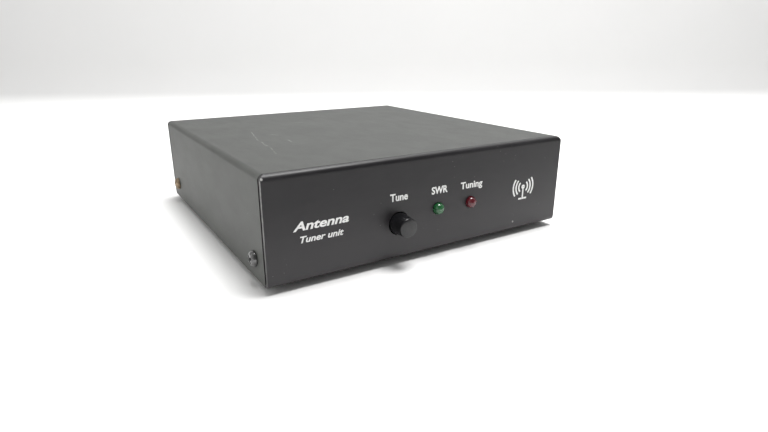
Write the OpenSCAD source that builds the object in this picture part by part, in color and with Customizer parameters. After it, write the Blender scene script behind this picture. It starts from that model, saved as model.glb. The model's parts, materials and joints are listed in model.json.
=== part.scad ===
/* [Case] */
// Width of the case over its sides
case_w = 127; // [120:1:150]
// Depth of the case, front panel to rear panel
case_d = 131; // [131:1:170]
// Height of the case without its feet
case_h = 36; // [34:0.5:50]
// Thickness of the sheet metal
sheet = 1.2; // [1:0.1:1.5]
// Outer radius of the folds
bend_r = 2; // [1.8:0.1:3]
// Gap between the panels' rolled top edges and the cover
seam = 0.3; // [0.1:0.05:0.5]
// Height of the feet
foot_h = 2.2; // [1:0.1:6]
// Diameter of the feet
foot_d = 8; // [6:0.5:12]
// Distance of the side screws from the front and rear faces
side_screw_inset = 10.5; // [7:0.5:12]
// Height of the side screws above the floor of the case
side_screw_h = 7; // [7:0.5:12]

/* [Front panel] */
// Diameter of the tune button at the panel
button_d = 7.8; // [6:0.1:10]
// Diameter of the tune button at its end
button_tip_d = 6.7; // [5:0.1:9]
// How far the tune button stands out
button_out = 6.5; // [4:0.1:9]
// How far the tune button presses in
button_travel = 2; // [1:0.1:2.5]
// Tune button, sideways from the middle
button_x = -15.5; // [-17:0.1:-14]
// Tune button, above the bottom of the case
button_h = 13; // [12.5:0.1:14]
// Diameter of the lamps
lamp_d = 4.3; // [3:0.1:5]
// Green lamp, sideways from the middle
green_x = 1.3; // [-2:0.1:2]
// Red lamp, sideways from the middle
red_x = 16.4; // [14:0.1:20]
// Lamps, above the bottom of the case
lamp_h = 15.6; // [14:0.1:20]

/* [Rear panel] */
// Transmitter socket, sideways from the middle
tx_x = -3; // [-6:0.5:0]
// Antenna socket, sideways from the middle
ant_x = 30; // [26:0.5:31]
// Ground stud, sideways from the middle
stud_x = 52.5; // [52:0.5:53]
// Radio jack, sideways from the middle
radio_x = -29; // [-32:0.5:-26]
// Power jack, sideways from the middle
power_x = -47; // [-49:0.5:-44]
// Sockets and stud, above the bottom of the case
socket_h = 18; // [17:0.5:19]
// Outside diameter of the coax socket's thread
coax_thread_d = 15.88; // [15:0.01:16]
// Length of the coax socket's thread
coax_thread_l = 14; // [12:0.5:15]
// Diameter of the coax socket's centre hole
coax_pin_d = 4; // [3.5:0.1:4.5]
// Diameter of the ground stud
stud_d = 4; // [3:0.5:4]
// Thread pitch of the ground stud
stud_pitch = 0.7; // [0.5:0.05:1]
// Diameter of the power plug's hole
power_bore_d = 6.3; // [5.5:0.1:6.5]
// Diameter of the power jack's pin
power_pin_d = 2.5; // [2:0.1:2.5]
// Diameter of the radio plug's hole
radio_bore_d = 3.6; // [3.5:0.05:3.7]

/* [Circuit board] */
// Thickness of the board
board_t = 1.6; // [1:0.1:2]
// Height of the standoffs
standoff_h = 5; // [4:0.5:6]
// Relays in each row
relay_count = 8; // [4:1:8]

/* [Hidden] */
$fn = 64;

// Colours
grey_paint = [0.50, 0.52, 0.49];
black_paint = [0.23, 0.22, 0.22];
black_oxide = [0.10, 0.10, 0.11];
bright_steel = [0.75, 0.76, 0.78];
nickel = [0.80, 0.79, 0.76];
worn_brass = [0.55, 0.45, 0.32];
black_plastic = [0.08, 0.08, 0.09];
board_green = [0.08, 0.30, 0.16];
copper = [0.72, 0.40, 0.22];
tin = [0.70, 0.70, 0.72];

// Levels
bottom_z = foot_h;
floor_z = bottom_z + sheet;
top_z = bottom_z + case_h;
board_z = floor_z + standoff_h;
board_top = board_z + board_t;
socket_z = bottom_z + socket_h;
button_z = bottom_z + button_h;
lamp_z = bottom_z + lamp_h;
side_screw_z = bottom_z + side_screw_h;

// The longest thing at the rear is the coax socket, and at the front the tune button,
// and the origin is midway between their ends
flange_t = 1.6;
rear_out = flange_t + coax_thread_l;
front_y = -(case_d + rear_out - button_out) / 2;
rear_y = front_y + case_d;

// Sides
half_w = case_w / 2;
side_in = half_w - sheet;
tab_gap = 0.1;
tab_x = side_in - tab_gap;
floor_half_w = tab_x - bend_r;

// Fits
thread_gap = 0.05;
hole_gap = 0.15;

// Screws
m3_r = 1.5;
pan_r = 2.7;
pan_h = 1.9;

// Circuit board
board_half_w = 57;
board_front = 3.5;
board_rear_gap = 7.2;
board_back = case_d - board_rear_gap;
standoff_x = 52;
standoff_y = [10, case_d - 23];

// Switch
switch_w = 10;
cap_back = 2.5;
cap_rim = 0.7;
switch_front = cap_back + button_travel + 1;
switch_back = switch_front + 10;
switch_wall = 1.1;
plunger_w = 3.2;
plunger_collar_w = 6.4;
plunger_collar_t = 1.2;

// Ground stud, measured outward from the rear panel
lock_washer_t = 0.9;
hex_nut_t = 3.2;
flat_washer_t = 0.8;
nut_gap = 0.05;
washer_at = lock_washer_t + hex_nut_t + nut_gap;
wing_at = washer_at + flat_washer_t + nut_gap;
wing_hub_h = 5.5;
stud_end = wing_at + wing_hub_h + 5 * stud_pitch;
lug_t = 0.8;

// Coax sockets, measured outward from the rear panel
flange_w = 25.4;
flange_pitch = 18.26;
coax_bore_r = 6.15;
coax_barrel_r = 7.5;
coax_barrel_l = 9;
coax_face = flange_t + coax_thread_l - 8;
contact_end = flange_t + coax_thread_l - 2;
contact_r = 2.7;
contact_l = 12;
solder_cup_l = 5;
solder_cup_r = 1.8;
lead_r = 0.8;

// ---- Helpers ----

// Moves to a place measured from the outside of the front panel
module at(x, depth, z) {
  translate([x, front_y + depth, z]) children();
}

// A profile drawn in x and z, run from one depth to another
module run_y(from, to) {
  translate([0, front_y + to, 0]) rotate([90, 0, 0]) linear_extrude(to - from) children();
}

// A profile drawn in y and z, run from one side to the other
module run_x(from, to) {
  translate([from, 0, 0]) rotate([90, 0, 90]) linear_extrude(to - from) children();
}

// A turned shape whose axis points out of the rear of the case
module turned_y() {
  rotate([-90, 0, 0]) rotate_extrude() children();
}

// A turned shape whose axis points out of the front of the case
module turned_front() {
  rotate([90, 0, 0]) rotate_extrude() children();
}

// A rod along y
module rod_y(r, length) {
  rotate([-90, 0, 0]) cylinder(r = r, h = length);
}

// A rod along x, centred
module rod_x(r, length) {
  rotate([0, 90, 0]) cylinder(r = r, h = length, center = true);
}

// A quarter of a folded sheet's section, from straight up to straight right
module fold() {
  intersection() {
    difference() {
      circle(r = bend_r);
      circle(r = bend_r - sheet);
    }
    square(bend_r);
  }
}

// A block resting on the given level, centred on x and y
module block(w, d, h) {
  translate([-w / 2, -d / 2, 0]) cube([w, d, h]);
}

// Copies on both sides
module both_sides() {
  children();
  mirror([1, 0, 0]) children();
}

// Copies at both ends of the case
module both_ends() {
  children();
  translate([0, front_y + rear_y, 0]) mirror([0, 1, 0]) children();
}

// A pan head screw pointing down, its head resting on z = 0, with a cross recess
module pan_screw(shank_l) {
  difference() {
    union() {
      translate([0, 0, -shank_l]) cylinder(r = m3_r, h = shank_l);
      rotate_extrude() polygon([
        [0, 0], [pan_r, 0], [pan_r, pan_h * 0.5],
        [pan_r * 0.82, pan_h * 0.9], [pan_r * 0.6, pan_h], [0, pan_h]
      ]);
    }
    for (turn = [0, 90]) {
      rotate(turn) translate([0, 0, pan_h]) cube([pan_r * 1.1, 0.7, 2.2], center = true);
    }
  }
}

// A wire of given radius that comes in along +y and turns down to the board
module bent_wire(r, run, drop, turn_r) {
  rod_y(r, run - turn_r);
  translate([0, run - turn_r, -turn_r]) rotate([90, 0, 90]) rotate_extrude(angle = 90)
    translate([turn_r, 0]) circle(r = r);
  translate([0, run, -drop]) cylinder(r = r, h = drop - turn_r);
}

// ---- Enclosure ----

module side_screw_places() {
  both_sides() for (depth = [side_screw_inset, case_d - side_screw_inset]) {
    at(half_w, depth, side_screw_z) rotate([0, 90, 0]) children();
  }
}

// The outline of the closed case seen from the front
module case_outline() {
  translate([-half_w, bottom_z]) square([case_w, case_h - bend_r]);
  translate([-half_w + bend_r, bottom_z]) square([case_w - 2 * bend_r, case_h]);
  for (side = [-1, 1]) {
    translate([side * (half_w - bend_r), top_z - bend_r]) circle(r = bend_r);
  }
}

// The front and rear panels, each folded in at the bottom and rolled over at the top
module chassis_panels() {
  intersection() {
    run_x(-half_w, half_w) both_panels() {
      translate([0, bottom_z + bend_r]) square([sheet, case_h - 2 * bend_r]);
      translate([bend_r, bottom_z + bend_r]) rotate(180) fold();
      translate([bend_r, top_z - bend_r]) rotate(90) fold();
    }
    run_y(0, case_d) case_outline();
  }
}

// A section drawn at the front panel, and again facing it at the rear panel
module both_panels() {
  translate([front_y, 0]) children();
  translate([rear_y, 0]) mirror([1, 0]) children();
}

module chassis_floor() {
  at(-floor_half_w, bend_r, bottom_z) cube([2 * floor_half_w, case_d - 2 * bend_r, sheet]);
}

module chassis_tabs() {
  tab_half_l = 5;
  tab_h = 14;
  both_sides() for (depth = [side_screw_inset, case_d - side_screw_inset]) {
    run_y(depth - tab_half_l, depth + tab_half_l) {
      translate([tab_x - bend_r, bottom_z + bend_r]) rotate(-90) fold();
      translate([tab_x - sheet, bottom_z + bend_r]) square([sheet, tab_h - bend_r]);
    }
  }
}

// The floor reaches the cover's sides between the tabs
module chassis_floor_edges() {
  clear = side_screw_inset + 8;
  both_sides() at(floor_half_w, clear, bottom_z) cube([bend_r, case_d - 2 * clear, sheet]);
}

module chassis() {
  color(black_paint) difference() {
    union() {
      chassis_panels();
      chassis_floor();
      chassis_tabs();
      chassis_floor_edges();
    }
    side_screw_places() cylinder(r = m3_r + hole_gap, h = 20, center = true);
    at(button_x, -sheet, button_z) rod_y(button_d / 2 + 0.3, 3 * sheet);
    for (x = [green_x, red_x]) {
      at(x, -sheet, lamp_z) rod_y(lamp_d / 2 + hole_gap, 3 * sheet);
    }
    for (x = [tx_x, ant_x]) {
      at(x, case_d - 2 * sheet, socket_z) {
        rod_y(coax_barrel_r + 0.2, 3 * sheet);
        flange_corners() rod_y(m3_r + hole_gap, 3 * sheet);
      }
    }
    at(stud_x, case_d - 2 * sheet, socket_z) rod_y(stud_d / 2 + hole_gap, 3 * sheet);
    at(radio_x, case_d - 2 * sheet, radio_z) rod_y(radio_nose_r + hole_gap, 3 * sheet);
    at(power_x, case_d - 2 * sheet, power_z) rod_y(power_nose_r + hole_gap, 3 * sheet);
  }
}

module cover_section() {
  translate([-half_w + bend_r, top_z - sheet]) square([case_w - 2 * bend_r, sheet]);
  for (side = [0, 1]) mirror([side, 0]) {
    translate([half_w - sheet, bottom_z]) square([sheet, case_h - bend_r]);
    translate([half_w - bend_r, top_z - bend_r]) fold();
  }
}

module cover() {
  color(grey_paint) difference() {
    run_y(bend_r + seam, case_d - bend_r - seam) cover_section();
    side_screw_places() cylinder(r = m3_r + hole_gap, h = 4 * sheet, center = true);
  }
}

clinch_nut_t = 2;

module clinch_nuts() {
  color(bright_steel) side_screw_places() {
    translate([0, 0, tab_x - sheet - half_w - clinch_nut_t]) difference() {
      cylinder(r = 3.1, h = clinch_nut_t);
      translate([0, 0, -1]) cylinder(r = m3_r + thread_gap, h = clinch_nut_t + 2);
    }
  }
}

side_shank_l = 5.5;

module cover_screws() {
  color(black_oxide) {
    for (depth = [side_screw_inset, case_d - side_screw_inset]) {
      at(half_w, depth, side_screw_z) rotate([0, 90, 0]) pan_screw(side_shank_l);
    }
    at(-half_w, side_screw_inset, side_screw_z) rotate([0, -90, 0]) pan_screw(side_shank_l);
  }
}

module worn_cover_screw() {
  color(worn_brass) at(-half_w, case_d - side_screw_inset, side_screw_z)
    rotate([0, -90, 0]) pan_screw(side_shank_l);
}

module feet() {
  foot_x = half_w - 12;
  foot_inset = 12;
  edge = 0.5;
  color(black_plastic) both_sides() both_ends() at(foot_x, foot_inset, 0) rotate_extrude() polygon([
    [0, 0], [foot_d / 2 - edge, 0], [foot_d / 2, edge], [foot_d / 2, foot_h], [0, foot_h]
  ]);
}

// ---- Tune button and its switch ----

module tune_button() {
  base_r = button_d / 2;
  tip_r = button_tip_d / 2;
  length = cap_back + button_out;
  color(black_plastic) difference() {
    at(button_x, cap_back, button_z) turned_front() {
      polygon([
        [0, 0], [base_r, 0], [base_r, cap_back], [tip_r, length - cap_rim],
        [tip_r - cap_rim, length], [0, length]
      ]);
      translate([tip_r - cap_rim, length - cap_rim]) circle(r = cap_rim);
    }
    at(button_x, -button_out / 2, button_z) plunger_bar(button_out);
  }
}

// A square bar along y from the given place
module plunger_bar(length) {
  translate([-plunger_w / 2, 0, -plunger_w / 2]) cube([plunger_w, length, plunger_w]);
}

collar_front = switch_front + switch_wall + 0.1;
collar_back = collar_front + plunger_collar_t;

module switch_plunger() {
  color(bright_steel) {
    at(button_x, -button_out / 2, button_z) plunger_bar(collar_back + button_out / 2);
    at(button_x, (collar_front + collar_back) / 2, button_z)
      cube([plunger_collar_w, plunger_collar_t, plunger_collar_w], center = true);
  }
}

module switch_housing() {
  window = plunger_w + 0.3;
  cavity = plunger_collar_w + 0.4;
  height = button_z + switch_w / 2 - board_top;
  color(black_plastic) difference() {
    at(button_x, (switch_front + switch_back) / 2, board_top)
      block(switch_w, switch_back - switch_front, height);
    at(button_x, switch_front + switch_wall, button_z) translate([-cavity / 2, 0, -cavity / 2])
      cube([cavity, switch_back - switch_front - 2 * switch_wall, cavity]);
    at(button_x, switch_front, button_z) cube([window, 4 * switch_wall, window], center = true);
  }
}

// The return spring, as flat rings joined by short posts
module switch_spring() {
  spring_r = 2.6;
  wire_r = 0.25;
  turns = 5;
  length = switch_back - switch_wall - collar_back;
  step = (length - 2 * wire_r) / turns;
  color(bright_steel) at(button_x, collar_back + wire_r, button_z) {
    for (i = [0:turns]) {
      translate([0, i * step, 0]) turned_y() translate([spring_r, 0]) circle(r = wire_r, $fn = 24);
    }
    for (i = [0:turns - 1]) {
      rotate([0, 180 * i, 0]) translate([spring_r, i * step, 0]) rod_y(wire_r * 0.9, step);
    }
  }
}

module switch_terminal_places() {
  for (x = [-2.5, 0, 2.5], depth = [switch_front + 2.5, switch_back - 2.5]) {
    at(button_x + x, depth, board_top) children();
  }
}

pin_r = 0.3;
pin_hole_r = 0.4;
pin_tail = 1.2;

// A pin from a component on the board down through it
module board_pin() {
  translate([0, 0, -board_t - pin_tail]) cylinder(r = pin_r, h = board_t + pin_tail, $fn = 24);
}

module board_pin_hole() {
  translate([0, 0, -board_t - 1]) cylinder(r = pin_hole_r, h = board_t + 2, $fn = 24);
}

module switch_terminals() {
  color(tin) switch_terminal_places() board_pin();
}

// ---- Lamps ----

lamp_flange_at = 5;
lamp_back = 6;
lamp_lead_gap = 1.27;
lamp_lead_run = 3;

module lamp(x) {
  r = lamp_d / 2;
  at(x, lamp_back, lamp_z) turned_front() union() {
    square([r + 0.4, lamp_back - lamp_flange_at]);
    square([r, lamp_back + 0.2]);
    intersection() {
      translate([0, lamp_back + 0.2]) circle(r = r);
      translate([0, lamp_back]) square(r + 1);
    }
  }
}

module green_lamp() {
  color([0.10, 0.32, 0.16]) lamp(green_x);
}

module red_lamp() {
  color([0.38, 0.08, 0.09]) lamp(red_x);
}

module lamp_lead_places() {
  for (x = [green_x, red_x], side = [-1, 1]) {
    at(x + side * lamp_lead_gap, lamp_back, 0) children();
  }
}

module lamp_leads() {
  color(tin) lamp_lead_places() translate([0, 0, lamp_z])
    bent_wire(0.25, lamp_lead_run, lamp_z - board_z + pin_tail, 1);
}

// ---- Circuit board ----

module standoff_places() {
  both_sides() for (depth = standoff_y) {
    at(standoff_x, depth, 0) children();
  }
}

module circuit_board() {
  color(board_green) difference() {
    at(0, (board_front + board_back) / 2, board_z)
      block(2 * board_half_w, board_back - board_front, board_t);
    standoff_places() cylinder(r = m3_r + hole_gap, h = board_top + 1);
    switch_terminal_places() board_pin_hole();
    lamp_lead_places() translate([0, lamp_lead_run, board_top]) board_pin_hole();
    relay_pin_places() board_pin_hole();
    chip_pin_places() board_pin_hole();
    capacitor_lead_places() board_pin_hole();
    jack_terminal_places() board_pin_hole();
  }
}

module board_standoffs() {
  color(nickel) standoff_places() translate([0, 0, floor_z]) difference() {
    cylinder(r = 3.2, h = standoff_h, $fn = 6);
    translate([0, 0, 0.5]) cylinder(r = m3_r + thread_gap, h = standoff_h);
  }
}

module board_screws() {
  color(bright_steel) standoff_places() translate([0, 0, board_top]) pan_screw(board_t + standoff_h - 1);
}

// ---- Coils ----

// Where the standing ring coils are, and the clear height under them
large_core_y = 71;
large_core_x = [-38, -12, 14];
small_core_x = [34, 49];
large_core = [20.2, 12.6, 6.4];
small_core = [12.7, 7.7, 4.8];
winding_t = 0.9;
winding_span = 300;

// A ring standing on edge with its axis along y
module ring_core(size) {
  rotate([90, 0, 0]) rotate_extrude() translate([size[1] / 2, -size[2] / 2])
    square([(size[0] - size[1]) / 2, size[2]]);
}

// The wire layer around a standing ring, open at the top
module ring_winding(size, span) {
  rotate([90, 0, 0]) rotate(270 - span / 2) rotate_extrude(angle = span) difference() {
    translate([size[1] / 2 - winding_t, -size[2] / 2 - winding_t])
      square([(size[0] - size[1]) / 2 + 2 * winding_t, size[2] + 2 * winding_t]);
    translate([size[1] / 2, -size[2] / 2]) square([(size[0] - size[1]) / 2, size[2]]);
  }
}

module large_coil_places() {
  for (x = large_core_x) {
    at(x, large_core_y, board_top + large_core[0] / 2 + winding_t) children();
  }
}

module small_coil_places() {
  for (x = small_core_x) {
    at(x, large_core_y, board_top + small_core[0] / 2 + winding_t) children();
  }
}

module large_cores() {
  color([0.62, 0.12, 0.08]) large_coil_places() ring_core(large_core);
}

module large_windings() {
  color(copper) large_coil_places() ring_winding(large_core, winding_span);
}

module small_cores() {
  color([0.62, 0.12, 0.08]) small_coil_places() ring_core(small_core);
}

module small_windings() {
  color(copper) small_coil_places() ring_winding(small_core, winding_span);
}

// Two coils of bare wire lying on the board
module air_coils() {
  coil_r = 3;
  wire_r = 0.5;
  turns = 6;
  step = 1.3;
  color(copper) for (x = small_core_x) at(x, large_core_y - 10, board_top + coil_r + wire_r) {
    for (i = [0:turns - 1]) {
      translate([(i - (turns - 1) / 2) * step, 0, 0]) rotate([0, 90, 0]) rotate_extrude()
        translate([coil_r, 0]) circle(r = wire_r, $fn = 24);
    }
    translate([0, 0, -coil_r]) rod_x(wire_r * 0.9, (turns - 1) * step);
  }
}

// The standing ring that samples the power going to the antenna
bridge_x = 6;
bridge_y = 106;
bridge_wire_r = 0.9;

module bridge_place() {
  at(bridge_x, bridge_y, board_top + small_core[0] / 2 + winding_t) children();
}

module bridge_core() {
  color([0.20, 0.20, 0.22]) bridge_place() ring_core(small_core);
}

module bridge_winding() {
  color(copper) bridge_place() ring_winding(small_core, 200);
}

module bridge_primary() {
  run = 9;
  turn_r = 2;
  height = small_core[0] / 2 + winding_t;
  color(copper) bridge_place() for (side = [0, 1]) mirror([0, side, 0])
    bent_wire(bridge_wire_r, run, height, turn_r);
}

// ---- Relays ----

relay_size = [7.5, 12.5, 10];
relay_pitch = 11.5;
relay_rows = [49, 89];
relay_lift = 0.3;

module relay_places() {
  for (depth = relay_rows, i = [0:relay_count - 1]) {
    at((i - (relay_count - 1) / 2) * relay_pitch, depth, board_top) children();
  }
  at(-bridge_x - 14, bridge_y, board_top) children();
}

module relay_pin_places() {
  relay_places() for (pin = [[-2.5, -5], [2.5, -5], [0, -1], [-2.5, 5], [2.5, 5]]) {
    translate([pin[0], pin[1], 0]) children();
  }
}

module relays() {
  color([0.88, 0.84, 0.74]) relay_places() translate([0, 0, relay_lift])
    block(relay_size[0], relay_size[1], relay_size[2]);
}

module relay_pins() {
  color(tin) relay_pin_places() {
    board_pin();
    cylinder(r = pin_r, h = relay_lift, $fn = 24);
  }
}

// ---- Capacitors ----

capacitor_r = 4.5;
capacitor_t = 3.4;
capacitor_lift = 2;
capacitor_lead_gap = 2.5;

module capacitor_places() {
  for (i = [0:5]) {
    at(18 + i * 5.2, bridge_y, board_top) children();
  }
}

module capacitor_lead_places() {
  capacitor_places() for (side = [-1, 1]) {
    translate([0, side * capacitor_lead_gap, 0]) children();
  }
}

module capacitor_leads() {
  color(tin) capacitor_lead_places() {
    board_pin();
    cylinder(r = pin_r, h = capacitor_lift + capacitor_r * 0.4, $fn = 24);
  }
}

module disc_capacitors() {
  color([0.60, 0.28, 0.10]) difference() {
    capacitor_places() translate([0, 0, capacitor_lift + capacitor_r]) rod_x(capacitor_r, capacitor_t);
    capacitor_lead_places() cylinder(r = pin_r, h = capacitor_lift + capacitor_r * 0.4, $fn = 24);
  }
}

module electrolytic_capacitors() {
  color([0.12, 0.14, 0.30]) for (x = [-50, -40, -30]) {
    at(x, 37, board_top) {
      cylinder(r = 4, h = 11);
      translate([0, 0, 11]) cylinder(r = 3.3, h = 0.4);
    }
  }
}

// ---- Chips ----

dip_pitch = 2.54;
dip_row = 7.62;
chip_y = 24;
driver_y = 36;
driver_x = [10, 40];
chip_x = 20;
socket_size = [36, 10, 4.2];
chip_size = [34.8, 7.2, 3.4];
driver_size = [23, 6.4, 3.4];
driver_lift = 0.5;

module dip_pins(count) {
  for (i = [0:count / 2 - 1], side = [-1, 1]) {
    translate([(i - (count / 2 - 1) / 2) * dip_pitch, side * dip_row / 2, 0]) children();
  }
}

module chip_pin_places() {
  at(chip_x, chip_y, board_top) dip_pins(28) children();
  for (x = driver_x) {
    at(x, driver_y, board_top) dip_pins(18) children();
  }
}

module microcontroller() {
  color(black_plastic) at(chip_x, chip_y, board_top + socket_size[2]) difference() {
    block(chip_size[0], chip_size[1], chip_size[2]);
    translate([-chip_size[0] / 2, 0, chip_size[2]]) cylinder(r = 1.2, h = 1, center = true);
  }
}

module chip_socket() {
  color(black_plastic) at(chip_x, chip_y, board_top) difference() {
    block(socket_size[0], socket_size[1], socket_size[2]);
    translate([0, 0, -1]) block(socket_size[0] - 6, 3.5, socket_size[2] + 2);
  }
}

module driver_chips() {
  color(black_plastic) for (x = driver_x) {
    at(x, driver_y, board_top + driver_lift) difference() {
      block(driver_size[0], driver_size[1], driver_size[2]);
      translate([-driver_size[0] / 2, 0, driver_size[2]]) cylinder(r = 1.2, h = 1, center = true);
    }
  }
}

// Pins of the socket and, bent up to their sides, of the driver chips
module chip_pins() {
  leg_w = 0.5;
  color(tin) {
    chip_pin_places() board_pin();
    for (x = driver_x) at(x, driver_y, board_top) dip_pins(18) {
      cylinder(r = pin_r, h = driver_lift + driver_size[2] / 2, $fn = 24);
    }
    for (x = driver_x, i = [0:8], side = [-1, 1]) {
      at(x + (i - 4) * dip_pitch - leg_w / 2, driver_y + side * (dip_row + driver_size[1]) / 4,
        board_top + driver_lift + driver_size[2] / 2)
        translate([0, -(dip_row - driver_size[1]) / 4, -0.15])
          cube([leg_w, (dip_row - driver_size[1]) / 2, 0.3]);
    }
  }
}

module crystal() {
  color(nickel) at(-12, chip_y, board_top) {
    block(6.4, 4.6, 3.5);
    for (side = [-1, 1]) translate([side * 3.2, 0, 0]) cylinder(r = 2.3, h = 3.5);
  }
}

// ---- Power supply ----

regulator_x = -46;
regulator_y = 25;
regulator_tab_t = 1.3;

module voltage_regulator() {
  color(black_plastic) at(regulator_x, regulator_y, board_top + regulator_tab_t) difference() {
    block(10, 9, 3.2);
    translate([0, 0, 3.2]) cylinder(r = 1, h = 0.6, center = true);
  }
}

module regulator_tab() {
  color(tin) difference() {
    at(regulator_x, regulator_y - 3.2, board_top) block(10, 15.4, regulator_tab_t);
    at(regulator_x, regulator_y - 7.6, board_top - 1) cylinder(r = 1.8, h = regulator_tab_t + 2);
  }
}

// ---- Parts with leads at both ends ----

axial_body_l = 6.3;
axial_lead_l = 10.2;
axial_r = 1.15;
axial_z = board_top + axial_r + 0.2;

module resistor_places() {
  for (i = [0:4]) {
    at(-3 + i * 12, 14, axial_z) children();
  }
  for (i = [0:3]) {
    at(-38, 99 + i * 4, axial_z) children();
  }
}

module diode_places() {
  for (i = [0:4]) {
    at(-40 + i * 12, 61, axial_z) children();
  }
}

module resistors() {
  waist = axial_r * 0.85;
  color([0.80, 0.68, 0.48]) resistor_places() rotate([0, 90, 0]) {
    cylinder(r = waist, h = axial_body_l, center = true);
    for (side = [-1, 1]) translate([0, 0, side * (axial_body_l - 1.5) / 2])
      cylinder(r = axial_r, h = 1.5, center = true);
  }
}

module diodes() {
  color([0.72, 0.30, 0.12]) diode_places() rod_x(axial_r * 0.85, axial_body_l * 0.8);
}

module axial_lead(body_l) {
  lead_r = 0.25;
  for (side = [0, 1]) mirror([side, 0, 0]) {
    translate([body_l / 2, 0, 0]) rotate([0, 90, 0])
      cylinder(r = lead_r, h = (axial_lead_l - body_l) / 2, $fn = 24);
    translate([axial_lead_l / 2, 0, board_top - axial_z])
      cylinder(r = lead_r, h = axial_z - board_top + lead_r, $fn = 24);
  }
}

module axial_leads() {
  color(tin) {
    resistor_places() axial_lead(axial_body_l);
    diode_places() axial_lead(axial_body_l * 0.8);
  }
}

// ---- Calibration trimmer ----

trimmer_x = 48;
trimmer_y = 24;
trimmer_size = [6.8, 6.8, 4.4];
trimmer_r = 2.4;
trimmer_depth = 1.6;

module trimmer_body() {
  color([0.10, 0.22, 0.50]) at(trimmer_x, trimmer_y, board_top) difference() {
    block(trimmer_size[0], trimmer_size[1], trimmer_size[2]);
    translate([0, 0, trimmer_size[2] - trimmer_depth])
      cylinder(r = trimmer_r + thread_gap, h = trimmer_depth + 1);
  }
}

module trimmer_rotor() {
  seat_z = board_top + trimmer_size[2] - trimmer_depth + thread_gap;
  color([0.92, 0.90, 0.84]) at(trimmer_x, trimmer_y, seat_z)
    difference() {
      cylinder(r = trimmer_r, h = trimmer_depth);
      translate([0, 0, trimmer_depth]) cube([3.4, 0.8, 1.2], center = true);
    }
}

// ---- Coax sockets ----

module flange_corners() {
  for (x = [-1, 1], z = [-1, 1]) {
    translate([x * flange_pitch / 2, 0, z * flange_pitch / 2]) children();
  }
}

module coax_places() {
  for (x = [tx_x, ant_x]) {
    at(x, case_d, socket_z) children();
  }
}

module coax_shells() {
  color(nickel) coax_places() difference() {
    union() {
      translate([-flange_w / 2, 0, -flange_w / 2]) cube([flange_w, flange_t, flange_w]);
      translate([0, -coax_barrel_l, 0]) rod_y(coax_barrel_r, coax_barrel_l);
      rod_y(coax_thread_d / 2, rear_out);
    }
    translate([0, -coax_barrel_l - 1, 0]) rod_y(coax_bore_r, rear_out + coax_barrel_l + 2);
    flange_corners() translate([0, -1, 0]) rod_y(m3_r + hole_gap, flange_t + 2);
  }
}

module coax_insulators() {
  color([0.90, 0.88, 0.82]) coax_places() turned_y() {
    translate([contact_r, -coax_barrel_l]) square([coax_bore_r - contact_r, coax_face + coax_barrel_l]);
    translate([contact_r, coax_face]) square([1.3, contact_end - coax_face - 1]);
  }
}

module coax_contacts() {
  slot_w = 0.5;
  slot_l = 6;
  color(nickel) coax_places() difference() {
    union() {
      translate([0, -coax_barrel_l, 0]) rod_y(contact_r, contact_end + coax_barrel_l);
      translate([0, -coax_barrel_l - solder_cup_l, 0]) rod_y(solder_cup_r, solder_cup_l);
    }
    translate([0, contact_end - contact_l, 0]) rod_y(coax_pin_d / 2, contact_l + 1);
    translate([0, -coax_barrel_l - solder_cup_l - 1, 0]) rod_y(lead_r + 0.3, solder_cup_l);
    for (turn = [45, 135]) {
      rotate([0, turn, 0]) translate([0, contact_end, 0]) cube([slot_w, 2 * slot_l, 20], center = true);
    }
  }
}

flange_shank_l = 7;

module flange_screws() {
  color(bright_steel) coax_places() flange_corners() translate([0, flange_t, 0])
    rotate([-90, 0, 0]) pan_screw(flange_shank_l);
}

module flange_nuts() {
  nut_t = 2.4;
  color(bright_steel) coax_places() flange_corners() translate([0, -sheet - nut_t, 0]) difference() {
    rotate([-90, 0, 0]) cylinder(r = 3.1, h = nut_t, $fn = 6);
    translate([0, -1, 0]) rod_y(m3_r + thread_gap, nut_t + 2);
  }
}

module coax_leads() {
  run = 6;
  color([0.80, 0.10, 0.08]) coax_places() translate([0, 4 - coax_barrel_l - solder_cup_l, 0])
    mirror([0, 1, 0]) bent_wire(lead_r, run, socket_z - board_top, 1.5);
}

// ---- Ground stud ----

module stud_place(out) {
  at(stud_x, case_d + out, socket_z) children();
}

module ground_stud() {
  head_h = 2.6;
  head_at = -sheet - lug_t;
  chamfer = 0.4;
  color(nickel) stud_place(0) difference() {
    turned_y() polygon([
      [0, head_at - head_h], [stud_d * 0.85, head_at - head_h], [stud_d, head_at - head_h * 0.6],
      [stud_d, head_at], [stud_d / 2, head_at], [stud_d / 2, stud_end - chamfer],
      [stud_d / 2 - chamfer, stud_end], [0, stud_end]
    ]);
    translate([0, head_at - head_h, 0]) cube([2 * stud_d + 2, 2, 1], center = true);
  }
}

module ground_lug() {
  tongue_l = 9;
  color(tin) stud_place(-sheet - lug_t) difference() {
    union() {
      rod_y(stud_d * 1.1, lug_t);
      translate([-2, 0, -tongue_l]) cube([4, lug_t, tongue_l]);
    }
    translate([0, -1, 0]) rod_y(stud_d / 2 + hole_gap, lug_t + 2);
  }
}

module washer(inner_r, outer_r, t) {
  turned_y() translate([inner_r, 0]) square([outer_r - inner_r, t]);
}

module lock_washer() {
  color(bright_steel) difference() {
    stud_place(0) washer(stud_d / 2 + hole_gap, stud_d * 0.95, lock_washer_t);
    stud_place(lock_washer_t / 2) rotate([0, 35, 0]) translate([stud_d * 0.75, 0, 0])
      cube([stud_d, 2, 0.5], center = true);
  }
}

module stud_nut() {
  color(bright_steel) stud_place(lock_washer_t) difference() {
    rotate([-90, 0, 0]) cylinder(r = stud_d, h = hex_nut_t, $fn = 6);
    translate([0, -1, 0]) rod_y(stud_d / 2 + thread_gap, hex_nut_t + 2);
  }
}

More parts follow.
